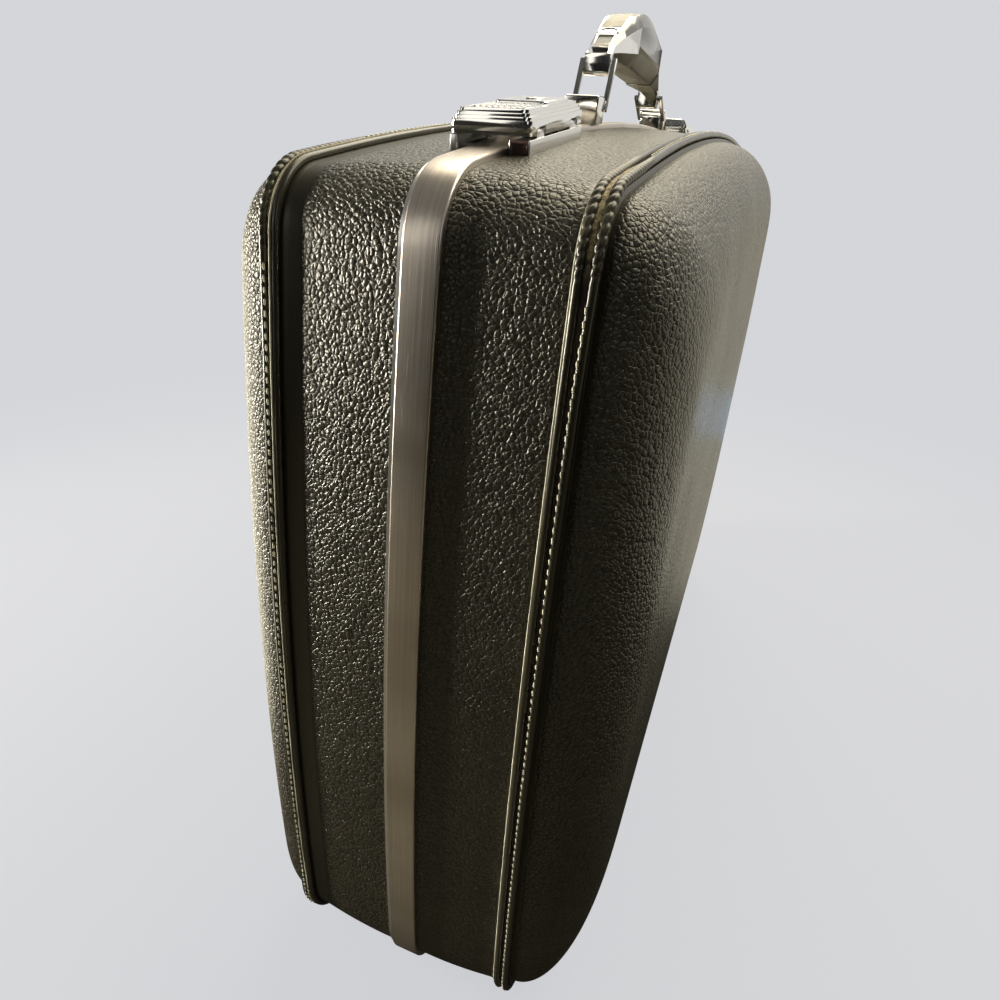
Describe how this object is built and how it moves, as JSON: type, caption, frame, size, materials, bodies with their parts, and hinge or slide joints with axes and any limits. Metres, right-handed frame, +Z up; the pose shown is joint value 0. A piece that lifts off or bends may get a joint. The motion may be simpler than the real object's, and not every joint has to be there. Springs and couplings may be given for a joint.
{
  "type": "hard-shell suitcase",
  "caption": "Hard-shell suitcase standing on its long side, with domed faces, a metal band, latches and a swinging carrying handle.",
  "frame": {"origin": "bottom centre of the bounding box, on the plane under the feet", "axes": "+Y along the case, +Z up through the handle, +X from the lid to the base across the thickness"},
  "size_m": [0.2224, 0.6778, 0.5727],
  "materials": {
    "vinyl": "dark olive leather-grain vinyl over a stiff shell",
    "piping": "vinyl piping, worn pale at one corner",
    "lining": "woven lining",
    "frame_aluminium": "plain extruded aluminium",
    "band_steel": "brushed along the band",
    "bright_chrome": "polished chrome plate",
    "steel": "plain zinc-plated steel",
    "feet": "black rubber",
    "grip_plastic": "olive-brown vinyl",
    "grip_insert": "olive panel",
    "webbing": "flat webbing"
  },
  "bodies": {
    "base": {"base_side_wall": "vinyl", "base_pan": "vinyl", "base_welt": "piping", "base_lining": "lining", "base_frame": "frame_aluminium", "base_hinge_leaves": "steel", "base_hinge_rivets": "steel", "base_feet": "feet", "band": "band_steel", "hinge_pins": "steel", "tie_straps": "webbing", "tie_buckles": "bright_chrome", "latch_block_near": "bright_chrome", "latch_block_far": "bright_chrome", "latch_pin_near": "steel", "latch_pin_far": "steel", "latch_spring_near": "steel", "latch_spring_far": "steel", "handle_post_near": "bright_chrome", "handle_post_far": "bright_chrome"},
    "lid": {"lid_side_wall": "vinyl", "lid_pan": "vinyl", "lid_welt": "piping", "lid_lining": "lining", "lid_frame": "frame_aluminium", "lid_hinge_leaves": "steel", "lid_hinge_rivets": "steel", "lid_feet": "feet", "lid_pocket": "lining", "latch_keeper_near": "bright_chrome", "latch_keeper_far": "bright_chrome"},
    "near_bail": {"handle_bail_near": "bright_chrome"},
    "far_bail": {"handle_bail_far": "bright_chrome"},
    "grip": {"grip_cap_near": "bright_chrome", "grip_cap_far": "bright_chrome", "grip_frame": "grip_plastic", "grip_pad": "grip_plastic", "grip_insert": "grip_insert"},
    "near_cover": {"latch_cover_near": "bright_chrome"},
    "near_slide": {"latch_slide_near": "bright_chrome"},
    "near_lock": {"lock_plug_near": "bright_chrome"},
    "far_cover": {"latch_cover_far": "bright_chrome"},
    "far_slide": {"latch_slide_far": "bright_chrome"},
    "far_lock": {"lock_plug_far": "bright_chrome"}
  },
  "joints": [
    {"name": "lid_hinge", "type": "hinge", "parent": "base", "child": "lid", "pos_m": [-0.0048, 0, 0.0042], "axis": [0, -1, 0], "range_deg": [0, 100]},
    {"name": "near_latch_lever", "type": "hinge", "parent": "base", "child": "near_cover", "pos_m": [0.02025, -0.22442, 0.50384], "axis": [0, 0.9959, 0.0904], "range_deg": [0, 100]},
    {"name": "near_latch_slide", "type": "slide", "parent": "near_cover", "child": "near_slide", "axis": [0, -0.9959, -0.0904], "range_m": [0, 0.004]},
    {"name": "near_lock_turn", "type": "hinge", "parent": "near_cover", "child": "near_lock", "pos_m": [0.00365, -0.2086, 0.51436], "axis": [0, -0.0904, 0.9959], "range_deg": [0, 90]},
    {"name": "far_latch_lever", "type": "hinge", "parent": "base", "child": "far_cover", "pos_m": [0.02025, 0.22442, 0.50384], "axis": [0, 0.9959, -0.0904], "range_deg": [0, 100]},
    {"name": "far_latch_slide", "type": "slide", "parent": "far_cover", "child": "far_slide", "axis": [0, 0.9959, -0.0904], "range_m": [0, 0.004]},
    {"name": "far_lock_turn", "type": "hinge", "parent": "far_cover", "child": "far_lock", "pos_m": [0.00365, 0.2086, 0.51436], "axis": [0, 0.0904, 0.9959], "range_deg": [0, 90]},
    {"name": "near_bail_swing", "type": "hinge", "parent": "base", "child": "near_bail", "pos_m": [0.00365, -0.1037, 0.51523], "axis": [-1, 0, 0], "range_deg": [0, 37]},
    {"name": "far_bail_swing", "type": "hinge", "parent": "base", "child": "far_bail", "pos_m": [0.00365, 0.1037, 0.51523], "axis": [-1, 0, 0], "range_deg": [0, 37]},
    {"name": "grip_turn", "type": "hinge", "parent": "near_bail", "child": "grip", "pos_m": [0.00365, -0.0928, 0.53971], "axis": [-1, 0, 0], "range_deg": [-44.6, 0]}
  ],
  "couplings": [
    {"joint": "grip_turn", "follows": "near_bail_swing", "ratio": -1.2054},
    {"joint": "far_bail_swing", "follows": "near_bail_swing", "ratio": 1}
  ]
}
